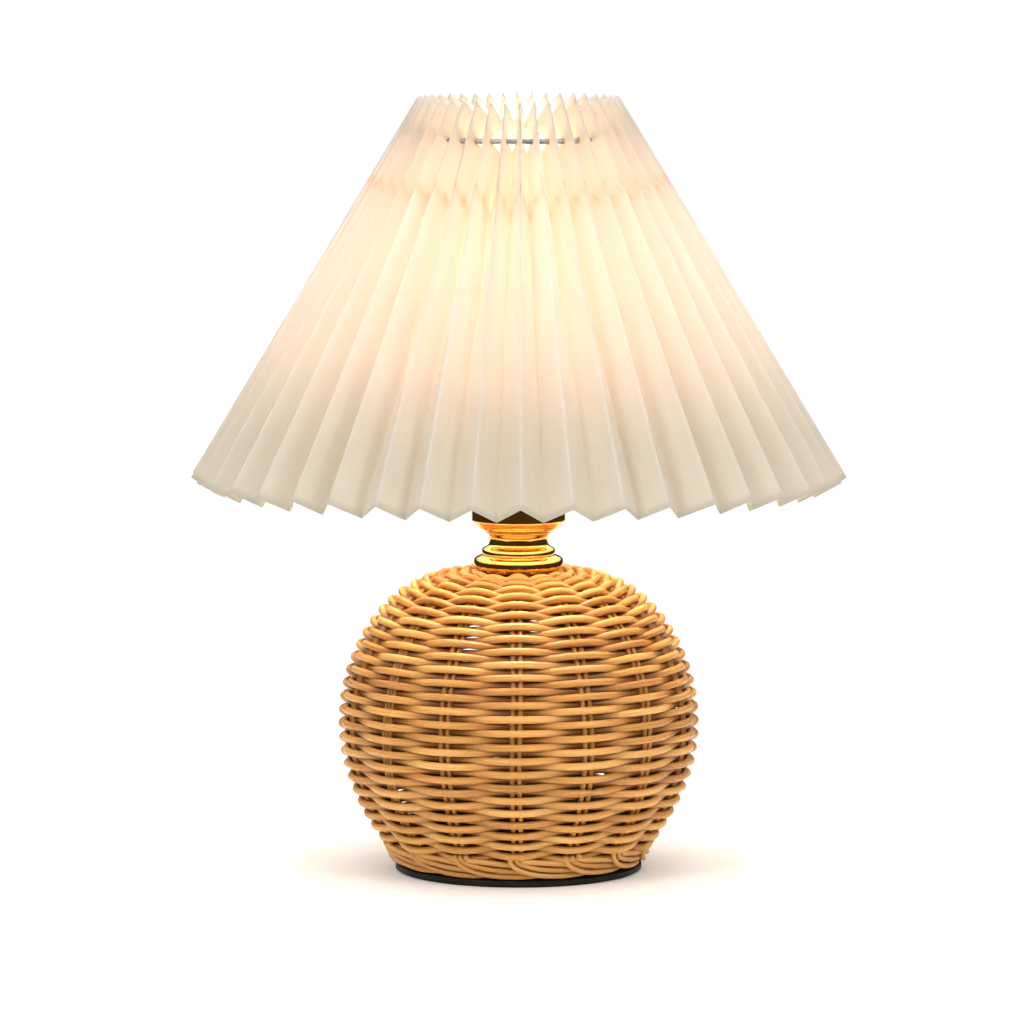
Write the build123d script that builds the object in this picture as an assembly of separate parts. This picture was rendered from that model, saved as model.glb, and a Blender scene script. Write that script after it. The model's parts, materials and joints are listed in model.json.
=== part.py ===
from build123d import *
import math
import os

# A table lamp: a woven cane ball on a weighted wooden foot, a turned brass neck,
# an E27 lampholder with its bulb, and an accordion-pleated cloth shade that
# hangs in its notches on a wire frame. Millimetres, +Z up, front towards -Y,
# origin at the middle of the underside.

# ---- foot ------------------------------------------------------------------
plate_r = 56.5              # black foot plate
plate_thickness = 2.4
plate_edge_round = 0.6
pad_thickness = 0.8         # soft pad under the plate
pad_inset = 1.5             # pad edge inside the plate edge
board_thickness = 20.0      # wooden board inside the basket
board_pocket_r = 13.0       # pocket under the board for the rod's nut
board_pocket_depth = 10.0
screw_count = 4
screw_circle_r = 38.0
screw_shank_r = 1.75
screw_head_r = 3.5
screw_head_height = 1.9
screw_length = 13.0
pilot_clearance = 0.05
cut_past = 1.0              # how far a cutter runs past the face it opens

# ---- woven ball ------------------------------------------------------------
ball_r = 83.0               # over the outermost canes
ball_wall = 8.0             # stakes and weavers together
ball_foot_overhang = 4.8    # how far the ball stands past the plate where it starts
border_height = 8.0         # plaited border lying on the plate
border_depth = 9.0
border_flat = 0.4           # straight part between the border's rounded corners
border_overhang = 1.7       # border past the plate edge
border_gap = 0.3            # between the border and the first row of weaving
crown_drop = 10.9           # flat crown below the top of the full sphere
crown_rim = 1.2             # flat ring around the seat of the neck
seat_depth = 1.8            # the neck sits this deep in the crown
seat_clearance = 0.4
basket_clearance = 0.4      # between the basket and the wood inside it
crown_disc_thickness = 10.0
crown_disc_flat = 4.7       # straight part of the crown disc's edge
crown_disc_r = 38.0

# ---- ballast and rod -------------------------------------------------------
ballast_r = 45.0
ballast_thickness = 12.0
ballast_chamfer = 1.5
rod_r = 5.0                 # M10 x 1 hollow rod
rod_bore_r = 3.5
rod_hole_clearance = 0.25
rod_below_nut = 0.8
rod_below_boss = 1.0        # rod's top end below the top of the holder's boss
thread_clearance = 0.05
nut_across_flats = 14.0
nut_height = 3.0
washer_r = 10.0
washer_thickness = 1.2

# ---- cord bush -------------------------------------------------------------
cord_r = 3.0                # lead that the bush is made for
cord_clearance = 0.2
bush_wall = 0.6
bush_fit = 0.1
bush_height = 4.3           # bush axis above the plate
bush_in_board = 12.0
bush_flange_r = 4.6
bush_flange_thickness = 2.0
bush_edge_round = 0.6
bush_stand_out = 1.2        # flange past the foot of the ball
bush_side_gap = 2.0         # border parted on each side of the bush

# ---- brass neck ------------------------------------------------------------
neck_base_r = 20.6
neck_base_foot_r = 18.6
neck_base_height = 7.2
neck_base_widest = 0.46     # share of its height where it is widest
neck_base_lip = 0.4         # its top edge past the collar
neck_recess_width = 2.4     # solid rim round the recess underneath
neck_recess_depth = 1.6
neck_collar_r = 16.9
neck_waist_r = 13.6
neck_collar_height = 11.0
neck_bowl_r = 15.4
neck_bead_share = 0.3       # shares of the collar's height, at the top of the bead and at the waist
neck_waist_share = 0.62
neck_bead_round = 0.5       # how far the bead stands out of its edges
neck_cove = 0.7             # middle of the curve below the waist, past the waist
neck_flare = 1.1            # middle of the curve above the waist, past the waist
cup_r = 21.8
cup_wall = 1.0
cup_floor = 1.2
cup_height = 31.0
cup_dish_rise = 4.3         # dished underside of the cup
cup_dish_share = 0.4        # share of that rise at the middle of the dish
cup_dish_drop = 3.2         # middle of the dish inside the cup's wall
cup_foot_step = 0.3         # cup's foot inside the bowl of the collar
cup_edge_width = 0.8        # rounded lower edge of the cup
cup_edge_height = 1.3
cup_edge_middle = 0.5
cup_edge_bulge = 0.15

# ---- lampholder ------------------------------------------------------------
holder_gap = 0.3            # above the locknut
holder_r = 19.0
holder_wall = 2.0
holder_boss_r = 8.0
holder_boss_height = 9.0
holder_base_height = 20.8
holder_shoulder = 6.0       # height of the slope from boss to wall
body_height = 33.0
body_bore_r = 14.4
body_thread_r = 19.3        # outer thread for the ring nut
body_flange_r = 24.0
body_flange_thickness = 2.5
body_flange_rise = 14.2     # flange underside above the body's foot
insert_height = 9.6
insert_clearance = 0.2
insert_drop = 5.6           # insert reaches this far down into the base
thread_shell_bore_r = 13.4  # E27 thread, bare cylinder over its crests
thread_shell_wall = 0.5
thread_shell_height = 22.0
contact_r = 3.2
contact_height = 1.2
side_contact_gap = 1.5
side_contact_width = 4.0
side_contact_thickness = 0.5
terminal_spacing = 17.0
terminal_screw_r = 1.6
terminal_head_r = 2.6
terminal_head_height = 1.8
terminal_length = 6.0
terminal_slot_width = 0.7
terminal_slot_depth = 0.6
ring_nut_r = 25.0
ring_nut_height = 7.0
ring_nut_chamfer = 0.8
ring_nut_grooves = 24
ring_nut_groove_r = 0.8

# ---- bulb ------------------------------------------------------------------
globe_r = 30.0
bulb_length = 108.0
bulb_cap_r = 13.1
bulb_cap_height = 21.0
bulb_cap_wall = 0.4
bulb_thread_pitch = 3.629
bulb_thread_depth = 0.8
bulb_thread_turns = 4
bulb_thread_start = 1.5     # first crest above the cap's foot
bulb_shoulder = 1.0         # slope from the thread to the plain part of the cap
bulb_tip_r = 4.5
bulb_tip_height = 1.5
bulb_tip_share = 0.7        # share of the radius where the tip's curve has risen by its sag
bulb_tip_sag = 0.45
bulb_insulator_height = 4.0
bulb_insulator_r = 11.0
bulb_neck_r = 12.6
bulb_glass = 0.8
bulb_glass_in_cap = 3.0
globe_flare_deg = -38.0      # below the globe's middle, where the flare meets it
contact_gap = 0.3
stem_r = 4.0
stem_flare = 9.0
stem_rim = 1.2
stem_clearance = 0.3
stem_height = 38.0
filament_count = 4
filament_r = 1.0
filament_length = 32.0
filament_circle_r = 7.0
lead_wire_r = 0.4

# ---- shade frame -----------------------------------------------------------
fitter_outer_r = 29.0
fitter_thickness = 1.5
fitter_play = 0.3           # the frame turns between the flange and the ring nut
fitter_hole_clearance = 0.7
arm_count = 3
arm_first_fold = 14         # the fold that the first arm stands behind, counted from the front one
arm_wire_r = 1.0
arm_inset = 1.5             # arm foot inside the fitter's edge
arm_foot_rise = 6.0
arm_head_run = 14.0
arm_bend_r = 8.0
ring_wire_r = 1.25
frame_ring_r = 48.0
frame_height = 135.3        # fitter top to the top ring

# ---- pleated shade ---------------------------------------------------------
pleat_count = 42
front_ridge_deg = -89.4     # one outer fold stands almost at the front
shade_bottom_r = 149.7      # middle of the cloth at the outer folds
shade_top_r = 45.9
shade_above_ring = 18.0
shade_below_ring = 154.6
pleat_depth_bottom = 12.9   # square to the folds
pleat_depth_top = 16.8
cloth = 0.35
notch_clearance = 0.35      # around the ring's wire
notch_half_height = 5.5     # of the notch where it opens on the inner fold
notch_past_fold = 3.0       # notch cutter past the inner folds

# ---- heights and radii that follow from the sizes above --------------------
plate_top = pad_thickness + plate_thickness
board_top = plate_top + board_thickness
border_top = plate_top + border_height
ball_foot_z = border_top + border_gap
ball_foot_r = plate_r + ball_foot_overhang
ball_centre_z = ball_foot_z + math.sqrt(ball_r**2 - ball_foot_r**2)
crown_rise = ball_r - crown_drop
crown_z = ball_centre_z + crown_rise
seat_r = neck_base_r + seat_clearance
crown_flat_r = seat_r + crown_rim
# the crown's arc touches the flat and runs smoothly into the sphere
crown_arc_r = (ball_r**2 - crown_rise**2 - crown_flat_r**2) / (2 * (ball_r - crown_rise))
seat_z = crown_z - seat_depth
inner_foot_r = math.sqrt((ball_r - ball_wall) ** 2 - (ball_centre_z - ball_foot_z) ** 2)
border_outer_r = plate_r + border_overhang
border_inner_r = border_outer_r - border_depth
board_r = min(inner_foot_r, border_inner_r) - basket_clearance
rod_hole_r = rod_r + rod_hole_clearance
rod_bottom = plate_top + board_pocket_depth - washer_thickness - nut_height - rod_below_nut
neck_collar_z = seat_z + neck_base_height
cup_z = neck_collar_z + neck_collar_height
cup_floor_z = cup_z + cup_floor
locknut_z = cup_floor_z + washer_thickness
holder_z = locknut_z + nut_height + holder_gap
rod_top = holder_z + holder_boss_height - rod_below_boss
body_z = holder_z + holder_base_height
body_top = body_z + body_height
flange_z = body_z + body_flange_rise
flange_top = flange_z + body_flange_thickness
insert_z = body_z - insert_drop
insert_top = insert_z + insert_height
insert_r = holder_r - holder_wall - insert_clearance
contact_top = insert_top + contact_height
fitter_z = flange_top + fitter_play
fitter_top = fitter_z + fitter_thickness
ring_nut_z = fitter_top + fitter_play
bulb_z = contact_top + contact_gap
bulb_cap_z = bulb_z + bulb_tip_height + bulb_insulator_height
globe_z = bulb_z + bulb_length - globe_r
frame_ring_z = fitter_top + frame_height
shade_top_z = frame_ring_z + shade_above_ring
shade_bottom_z = frame_ring_z - shade_below_ring


def disc(radius, z_low, z_high, hole=0.0):
    """A round plate between two heights, with an optional hole."""
    height = z_high - z_low
    plate = Pos(0, 0, z_low + height / 2) * Cylinder(radius, height)
    if hole:
        plate -= Pos(0, 0, z_low + height / 2) * Cylinder(hole, height * 2)
    return plate


def hex_nut(z_low, height):
    """A hexagon nut on the rod."""
    hexagon = RegularPolygon(nut_across_flats / 2, 6, major_radius=False)
    nut = extrude(Pos(0, 0, z_low) * hexagon, amount=height)
    return nut - disc(rod_r + thread_clearance, z_low - height, z_low + 2 * height)


def turned(edges):
    """A turned piece, from the closed outline of half its section."""
    return revolve(make_face(edges), Axis.Z)


def outline(*points):
    """Straight edges through (radius, height) points."""
    return Polyline(*[(r, 0, z) for r, z in points])


def arc(start, middle, end):
    """An arc through three (radius, height) points."""
    return ThreePointArc(*[(r, 0, z) for r, z in (start, middle, end)])


def around(count, circle_r, first_deg=0.0):
    """Places spaced evenly round a circle."""
    return [
        Rot(0, 0, first_deg + 360.0 * i / count) * Pos(circle_r, 0, 0) for i in range(count)
    ]


# ---- foot ------------------------------------------------------------------
def make_foot_pad():
    return disc(plate_r - pad_inset, 0, pad_thickness)


def screw_places():
    return around(screw_count, screw_circle_r, 180.0 / screw_count)


def make_base_plate():
    plate = disc(plate_r, pad_thickness, plate_top)
    plate = fillet(plate.edges().filter_by(GeomType.CIRCLE).sort_by(Axis.Z)[-1], plate_edge_round)
    sink = Pos(0, 0, pad_thickness + screw_head_height / 2) * Cone(
        screw_head_r, screw_shank_r, screw_head_height
    )
    hole = Pos(0, 0, plate_top) * Cylinder(screw_shank_r + pilot_clearance, plate_thickness * 2)
    for place in screw_places():
        plate -= place * (sink + hole)
    return plate


def make_base_screws():
    head = Pos(0, 0, pad_thickness + screw_head_height / 2) * Cone(
        screw_head_r, screw_shank_r, screw_head_height
    )
    shank_low = pad_thickness + screw_head_height
    shank = disc(screw_shank_r, shank_low, shank_low + screw_length - screw_head_height)
    return [place * (head + shank) for place in screw_places()]


def bush_axis(radius, y_low, y_high):
    """A cylinder along the bush's axis, at the back."""
    length = y_high - y_low
    place = Pos(0, (y_low + y_high) / 2, plate_top + bush_height) * Rot(90, 0, 0)
    return place * Cylinder(radius, length)


bush_r = cord_r + cord_clearance + bush_wall
bush_mouth_y = ball_foot_r + bush_stand_out


def make_base_board():
    board = disc(board_r, plate_top, board_top, rod_hole_r)
    board -= disc(board_pocket_r, plate_top, plate_top + board_pocket_depth)
    board -= bush_axis(bush_r + bush_fit, 0, board_r + bush_in_board)
    pilot_top = pad_thickness + screw_length + cut_past
    pilot = disc(screw_shank_r + pilot_clearance, plate_top - cut_past, pilot_top)
    for place in screw_places():
        board -= place * pilot
    return board


def make_cord_bush():
    end = bush_mouth_y + bush_flange_thickness
    bush = bush_axis(bush_r, board_r - bush_in_board, end)
    bush += bush_axis(bush_flange_r, bush_mouth_y, end)
    bush = fillet(bush.edges().filter_by(GeomType.CIRCLE).sort_by(Axis.Y)[-1], bush_edge_round)
    return bush - bush_axis(cord_r + cord_clearance, 0, end + bush_in_board)


# ---- woven ball ------------------------------------------------------------
def ball_arcs(inset):
    """The sphere's arc and the crown's arc, from the foot up, a given depth inside the canes."""
    radius, rise, small = ball_r - inset, crown_rise - inset, crown_arc_r - inset
    foot_angle = math.asin((ball_foot_z - ball_centre_z) / radius)
    join_angle = math.atan2(rise - small, crown_flat_r)

    def on_sphere(angle):
        return radius * math.cos(angle), ball_centre_z + radius * math.sin(angle)

    def on_crown(angle):
        height = ball_centre_z + rise - small + small * math.sin(angle)
        return crown_flat_r + small * math.cos(angle), height

    lower = [on_sphere(a) for a in (foot_angle, (foot_angle + join_angle) / 2, join_angle)]
    upper = [on_crown(a) for a in (join_angle, (join_angle + math.pi / 2) / 2, math.pi / 2)]
    return lower, upper


def make_wicker_body():
    outer_low, outer_high = ball_arcs(0)
    inner_low, inner_high = ball_arcs(ball_wall)
    top = outline(
        outer_high[2], (seat_r, crown_z), (seat_r, seat_z), (rod_hole_r, seat_z),
        (rod_hole_r, crown_z - ball_wall), inner_high[2],
    )
    bottom = outline(inner_low[0], outer_low[0])
    return turned([arc(*outer_low), arc(*outer_high), top, arc(*inner_high), arc(*inner_low), bottom])


def make_foot_border():
    middle_z = plate_top + border_height / 2
    middle_r = (border_outer_r + border_inner_r) / 2
    section = Plane.XZ * Pos(middle_r, middle_z) * RectangleRounded(
        border_depth, border_height, (border_height - border_flat) / 2
    )
    half_gap = math.degrees((bush_r + bush_side_gap) / border_inner_r)
    ring = revolve(section, Axis.Z, 360 - 2 * half_gap)
    return Rot(0, 0, 90 + half_gap) * ring


def make_crown_disc():
    top = crown_z - ball_wall - basket_clearance / 2
    bottom = top - crown_disc_thickness
    return turned([outline(
        (rod_hole_r, bottom), (crown_disc_r, bottom), (crown_disc_r, bottom + crown_disc_flat),
        (crown_flat_r - crown_rim, top), (rod_hole_r, top), (rod_hole_r, bottom),
    )])


# ---- ballast and rod -------------------------------------------------------
def make_threaded_rod():
    return disc(rod_r, rod_bottom, rod_top, rod_bore_r)


def washer(z_low):
    return disc(washer_r, z_low, z_low + washer_thickness, rod_hole_r)


foot_washer_z = plate_top + board_pocket_depth - washer_thickness
ballast_top = board_top + ballast_thickness


def make_ballast():
    weight = disc(ballast_r, board_top, ballast_top, rod_hole_r)
    return chamfer(weight.edges().filter_by(GeomType.CIRCLE).sort_by(SortBy.RADIUS)[-2:], ballast_chamfer)


# ---- brass neck ------------------------------------------------------------
def make_neck_base():
    low, high = seat_z, seat_z + neck_base_height
    widest_z = low + neck_base_height * neck_base_widest
    top_r = neck_collar_r + neck_base_lip
    recess_r, recess_z = neck_base_foot_r - neck_recess_width, low + neck_recess_depth
    return turned([
        arc((neck_base_foot_r, low), (neck_base_r, widest_z), (top_r, high)),
        outline(
            (top_r, high), (rod_hole_r, high), (rod_hole_r, recess_z), (recess_r, recess_z),
            (recess_r, low), (neck_base_foot_r, low),
        ),
    ])


def make_neck_collar():
    low, high = neck_collar_z, cup_z
    bead = low + neck_collar_height * neck_bead_share
    waist = low + neck_collar_height * neck_waist_share
    bead_r = neck_collar_r - neck_bead_round
    cove_r, flare_r = neck_waist_r + neck_cove, neck_waist_r + neck_flare
    return turned([
        arc((bead_r, low), (neck_collar_r, (low + bead) / 2), (bead_r, bead)),
        arc((bead_r, bead), (cove_r, (bead + waist) / 2), (neck_waist_r, waist)),
        arc((neck_waist_r, waist), (flare_r, (waist + high) / 2), (neck_bowl_r, high)),
        outline((neck_bowl_r, high), (rod_hole_r, high), (rod_hole_r, low), (bead_r, low)),
    ])


def make_neck_cup():
    low, high = cup_z, cup_z + cup_height
    dish = low + cup_dish_rise
    edge_top = dish + cup_edge_height
    edge_r, inner_r = cup_r - cup_edge_width, cup_r - cup_wall
    under_r = neck_bowl_r - cup_foot_step
    middle = (cup_r - cup_dish_drop, low + cup_dish_rise * cup_dish_share)
    return turned([
        arc((under_r, low), middle, (edge_r, dish)),
        arc((edge_r, dish), (cup_r - cup_edge_bulge, dish + cup_edge_middle), (cup_r, edge_top)),
        outline(
            (cup_r, edge_top), (cup_r, high), (inner_r, high), (inner_r, edge_top),
            (under_r, cup_floor_z), (rod_hole_r, cup_floor_z), (rod_hole_r, low), (under_r, low),
        ),
    ])


# ---- lampholder ------------------------------------------------------------
def make_holder_base():
    boss_top = holder_z + holder_boss_height
    wall_z = holder_z + holder_shoulder
    inner_r = holder_r - holder_wall
    hole_r = rod_r + thread_clearance
    return turned([outline(
        (hole_r, holder_z), (holder_boss_r, holder_z), (holder_r, wall_z), (holder_r, body_z),
        (inner_r, body_z), (inner_r, wall_z + holder_wall), (holder_boss_r, wall_z + holder_wall / 2),
        (holder_boss_r, boss_top), (hole_r, boss_top), (hole_r, holder_z),
    )])


def make_holder_body():
    insert_hole_r = insert_r + insert_clearance
    return turned([outline(
        (insert_hole_r, body_z), (holder_r, body_z), (holder_r, flange_z), (body_flange_r, flange_z),
        (body_flange_r, flange_top), (body_thread_r, flange_top), (body_thread_r, body_top),
        (body_bore_r, body_top), (body_bore_r, insert_top + insert_clearance),
        (insert_hole_r, insert_top + insert_clearance), (insert_hole_r, body_z),
    )])


def terminal_places():
    return around(2, terminal_spacing / 2)


def make_insert():
    body = disc(insert_r, insert_z, insert_top)
    pilot = disc(terminal_screw_r, insert_z - cut_past, insert_z + terminal_length)
    for place in terminal_places():
        body -= place * pilot
    return body


def make_terminal_screws():
    shank = disc(terminal_screw_r, insert_z, insert_z + terminal_length)
    head = disc(terminal_head_r, insert_z - terminal_head_height, insert_z)
    slot = Pos(0, 0, insert_z - terminal_head_height) * Box(
        2 * terminal_head_r, terminal_slot_width, 2 * terminal_slot_depth
    )
    return [place * (shank + head - slot) for place in terminal_places()]


def make_thread_shell():
    outer_r = thread_shell_bore_r + thread_shell_wall
    return disc(outer_r, insert_top, insert_top + thread_shell_height, thread_shell_bore_r)


def make_centre_contact():
    return disc(contact_r, insert_top, contact_top)


def make_side_contact():
    near_x = contact_r + side_contact_gap
    far_x = math.sqrt(thread_shell_bore_r**2 - (side_contact_width / 2) ** 2)
    tab = Box(far_x - near_x, side_contact_width, side_contact_thickness)
    return Pos((near_x + far_x) / 2, 0, insert_top + side_contact_thickness / 2) * tab


def make_ring_nut():
    ring = disc(ring_nut_r, ring_nut_z, ring_nut_z + ring_nut_height, body_thread_r + thread_clearance)
    rims = ring.edges().filter_by(GeomType.CIRCLE).sort_by(SortBy.RADIUS)[-2:]
    ring = chamfer(rims, ring_nut_chamfer)
    groove = Pos(0, 0, ring_nut_z + ring_nut_height / 2) * Cylinder(
        ring_nut_groove_r, ring_nut_height * 2
    )
    for place in around(ring_nut_grooves, ring_nut_r):
        ring -= place * groove
    return ring


# ---- bulb ------------------------------------------------------------------
def make_bulb_tip():
    high = bulb_z + bulb_tip_height
    curve = (bulb_tip_r * bulb_tip_share, bulb_z + bulb_tip_sag)
    return turned([
        arc((0, bulb_z), curve, (bulb_tip_r, high)),
        outline((bulb_tip_r, high), (0, high), (0, bulb_z)),
    ])


def make_bulb_insulator():
    low = bulb_z + bulb_tip_height
    return turned([outline(
        (0, low), (bulb_tip_r, low), (bulb_insulator_r, bulb_cap_z), (0, bulb_cap_z), (0, low),
    )])


bulb_cap_top = bulb_cap_z + bulb_cap_height
bulb_glass_z = bulb_cap_top - bulb_glass_in_cap


def make_bulb_cap():
    """A thin shell with rounded thread crests, drawn as rings of the thread's pitch."""
    root_r = bulb_cap_r - bulb_thread_depth
    thread_low = bulb_cap_z + bulb_thread_start
    crests, half = [], bulb_thread_pitch / 2
    for turn in range(bulb_thread_turns):
        low = thread_low + bulb_thread_pitch * turn
        crests.append(arc((root_r, low), (bulb_cap_r, low + half), (root_r, low + 2 * half)))
    thread_high = thread_low + bulb_thread_pitch * bulb_thread_turns
    inner_r, plain_r = root_r - bulb_cap_wall, bulb_cap_r - bulb_cap_wall
    plain_low = thread_high + bulb_shoulder
    lower = outline((inner_r, bulb_cap_z), (root_r, bulb_cap_z), (root_r, thread_low))
    upper = outline(
        (root_r, thread_high), (bulb_cap_r, plain_low), (bulb_cap_r, bulb_cap_top),
        (plain_r, bulb_cap_top), (plain_r, plain_low + bulb_cap_wall),
        (inner_r, thread_high), (inner_r, bulb_cap_z),
    )
    return turned([lower, *crests, upper])


def globe_profile(inset):
    """Half the glass's outline: a straight neck, a flare that leaves it upright and meets the
    globe smoothly, and the globe. Returns its lowest point, its edges and its top."""
    neck_r, radius = bulb_neck_r - inset, globe_r - inset
    meet = math.radians(globe_flare_deg)
    flare_r = (globe_r * math.cos(meet) - bulb_neck_r) / (1 - math.cos(meet))
    flare_centre_z = globe_z + (globe_r + flare_r) * math.sin(meet)
    flare_centre_r = bulb_neck_r + flare_r

    def on_flare(angle):
        reach = flare_r + inset
        return flare_centre_r - reach * math.cos(angle), flare_centre_z - reach * math.sin(angle)

    def on_globe(angle):
        return radius * math.cos(angle), globe_z + radius * math.sin(angle)

    quarter = math.pi / 2
    top = (0, globe_z + radius)
    return (neck_r, bulb_glass_z), [
        outline((neck_r, bulb_glass_z), (neck_r, flare_centre_z)),
        arc(on_flare(0), on_flare(meet / 2), on_flare(meet)),
        arc(on_globe(meet), on_globe((meet + quarter) / 2), top),
    ], top


def make_globe():
    outer_foot, outer, outer_top = globe_profile(0)
    inner_foot, inner, inner_top = globe_profile(bulb_glass)
    return turned([*outer, *inner, outline(outer_foot, inner_foot), outline(outer_top, inner_top)])


stem_z = bulb_glass_z
stem_top = stem_z + stem_height


def make_stem():
    foot_r = bulb_neck_r - bulb_glass - stem_clearance
    dome_z = stem_top - stem_r
    diagonal = stem_r * math.sqrt(0.5)
    return turned([
        outline((stem_r, stem_z + stem_flare), (stem_r, dome_z)),
        arc((stem_r, dome_z), (diagonal, dome_z + diagonal), (0, stem_top)),
        outline(
            (0, stem_top), (0, stem_z), (foot_r, stem_z), (foot_r, stem_z + stem_rim),
            (stem_r, stem_z + stem_flare),
        ),
    ])


filament_z = globe_z - filament_length / 2


def filament_places():
    return around(filament_count, filament_circle_r, 180.0 / filament_count)


def make_filaments():
    rod = disc(filament_r, filament_z, filament_z + filament_length)
    return [place * rod for place in filament_places()]


def make_lead_wires():
    """Stiff wires: spokes from the stem to the filaments' feet, and a cross over their tops."""
    spoke_length = filament_circle_r - stem_r
    spoke = Pos(stem_r - filament_circle_r + spoke_length / 2, 0, filament_z - lead_wire_r)
    spoke *= Rot(0, 90, 0) * Cylinder(lead_wire_r, spoke_length)
    spokes = [place * spoke for place in filament_places()]
    cross_z = filament_z + filament_length + lead_wire_r
    bar = Rot(0, 90, 0) * Cylinder(lead_wire_r, 2 * filament_circle_r)
    cross = Pos(0, 0, cross_z) * (Rot(0, 0, 45) * bar + Rot(0, 0, 135) * bar)
    return [*spokes, cross]


# ---- shade frame -----------------------------------------------------------
def make_fitter():
    return disc(fitter_outer_r, fitter_z, fitter_top, body_thread_r + fitter_hole_clearance)


def make_arms():
    foot_r = fitter_outer_r - arm_inset
    head_r = frame_ring_r - ring_wire_r - arm_wire_r
    path = FilletPolyline(
        (foot_r, 0, fitter_top), (foot_r, 0, fitter_top + arm_foot_rise),
        (head_r, 0, frame_ring_z - arm_head_run), (head_r, 0, frame_ring_z),
        radius=arm_bend_r,
    )
    wire = sweep(Plane((foot_r, 0, fitter_top), z_dir=(0, 0, 1)) * Circle(arm_wire_r), path=path)
    first = front_ridge_deg + 180.0 * arm_first_fold / pleat_count
    return [Rot(0, 0, first + 360.0 * i / arm_count) * wire for i in range(arm_count)]


def make_frame_ring():
    return Pos(0, 0, frame_ring_z) * Torus(frame_ring_r, ring_wire_r)


# ---- pleated shade ---------------------------------------------------------
fold_lean = math.atan2(shade_bottom_r - shade_top_r, shade_top_z - shade_bottom_z)


def fold_point(index, top, skin):
    """An end of a fold. skin is +1 on the outer face of the cloth and -1 on the inner face.

    Outer folds run down a cone. Inner folds stand inside them by the pleat depth, square to the
    fold, so their ends hang lower. The cloth's faces lie half its thickness to each side."""
    inner = index % 2
    depth = pleat_depth_top if top else pleat_depth_bottom
    radius, z = (shade_top_r, shade_top_z) if top else (shade_bottom_r, shade_bottom_z)
    inner_r = radius - depth * math.cos(fold_lean)
    across = inner_r * math.sin(math.pi / pleat_count)
    half_fold = math.atan2(across, depth)
    shift = skin * cloth / 2 / math.sin(half_fold) - inner * depth
    r = radius + shift * math.cos(fold_lean)
    angle = math.radians(front_ridge_deg) + math.pi * index / pleat_count
    return Vector(r * math.cos(angle), r * math.sin(angle), z + shift * math.sin(fold_lean))


def ruled(a, b, c, d):
    """The face swept by a straight line that goes from a-b to c-d."""
    return Face.make_surface_from_curves(Edge.make_line(a, b), Edge.make_line(c, d))


def make_pleated_shade():
    faces = []
    for index in range(2 * pleat_count):
        this, following = index, (index + 1) % (2 * pleat_count)
        corner = {
            (fold, top, skin): fold_point(fold, top, skin)
            for fold in (this, following) for top in (True, False) for skin in (1, -1)
        }
        for skin in (1, -1):
            faces.append(ruled(
                corner[this, True, skin], corner[this, False, skin],
                corner[following, True, skin], corner[following, False, skin],
            ))
        for top in (True, False):
            faces.append(ruled(
                corner[this, top, 1], corner[this, top, -1],
                corner[following, top, 1], corner[following, top, -1],
            ))
    return Solid(Shell(faces))


def make_notch_cutter():
    """A ring of wedge section: narrow round the wire, wide where it opens on the inner folds."""
    share = (shade_top_z - frame_ring_z) / (shade_top_z - shade_bottom_z)
    outer_here = shade_top_r + share * (shade_bottom_r - shade_top_r)
    mouth_r = outer_here - pleat_depth_top / math.cos(fold_lean) - notch_past_fold
    reach = ring_wire_r + notch_clearance
    above, below = frame_ring_z + reach, frame_ring_z - reach
    return turned([
        arc((frame_ring_r, below), (frame_ring_r + reach, frame_ring_z), (frame_ring_r, above)),
        outline(
            (frame_ring_r, above), (mouth_r, frame_ring_z + notch_half_height),
            (mouth_r, frame_ring_z - notch_half_height), (frame_ring_r, below),
        ),
    ])


nodes = {
    "foot_pad": make_foot_pad(),
    "base_plate": make_base_plate(),
    "base_screws": make_base_screws(),
    "base_board": make_base_board(),
    "cord_bush": make_cord_bush(),
    "wicker_body": make_wicker_body(),
    "wicker_foot_border": make_foot_border(),
    "crown_disc": make_crown_disc(),
    "threaded_rod": make_threaded_rod(),
    "rod_foot_washer": washer(foot_washer_z),
    "rod_foot_nut": hex_nut(foot_washer_z - nut_height, nut_height),
    "ballast_weight": make_ballast(),
    "ballast_washer": washer(ballast_top),
    "ballast_nut": hex_nut(ballast_top + washer_thickness, nut_height),
    "neck_base": make_neck_base(),
    "neck_collar": make_neck_collar(),
    "neck_cup": make_neck_cup(),
    "neck_washer": washer(cup_floor_z),
    "neck_locknut": hex_nut(locknut_z, nut_height),
    "lampholder_base": make_holder_base(),
    "lampholder_body": make_holder_body(),
    "lampholder_insert": make_insert(),
    "lampholder_terminal_screws": make_terminal_screws(),
    "lampholder_thread_shell": make_thread_shell(),
    "lampholder_centre_contact": make_centre_contact(),
    "lampholder_side_contact": make_side_contact(),
    "lampholder_ring_nut": make_ring_nut(),
    "bulb_tip": make_bulb_tip(),
    "bulb_insulator": make_bulb_insulator(),
    "bulb_cap": make_bulb_cap(),
    "bulb_globe": make_globe(),
    "bulb_stem": make_stem(),
    "bulb_filaments": make_filaments(),
    "bulb_lead_wires": make_lead_wires(),
    "frame_fitter_ring": make_fitter(),
    "frame_arms": make_arms(),
    "frame_top_ring": make_frame_ring(),
    "pleated_shade": make_pleated_shade() - make_notch_cutter(),
}

os.makedirs("parts", exist_ok=True)
for name, shape in nodes.items():
    if isinstance(shape, list):
        shape = Compound(children=[Part(piece.wrapped) for piece in shape])
    export_step(shape, f"parts/{name}.step")
    print(name)
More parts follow.
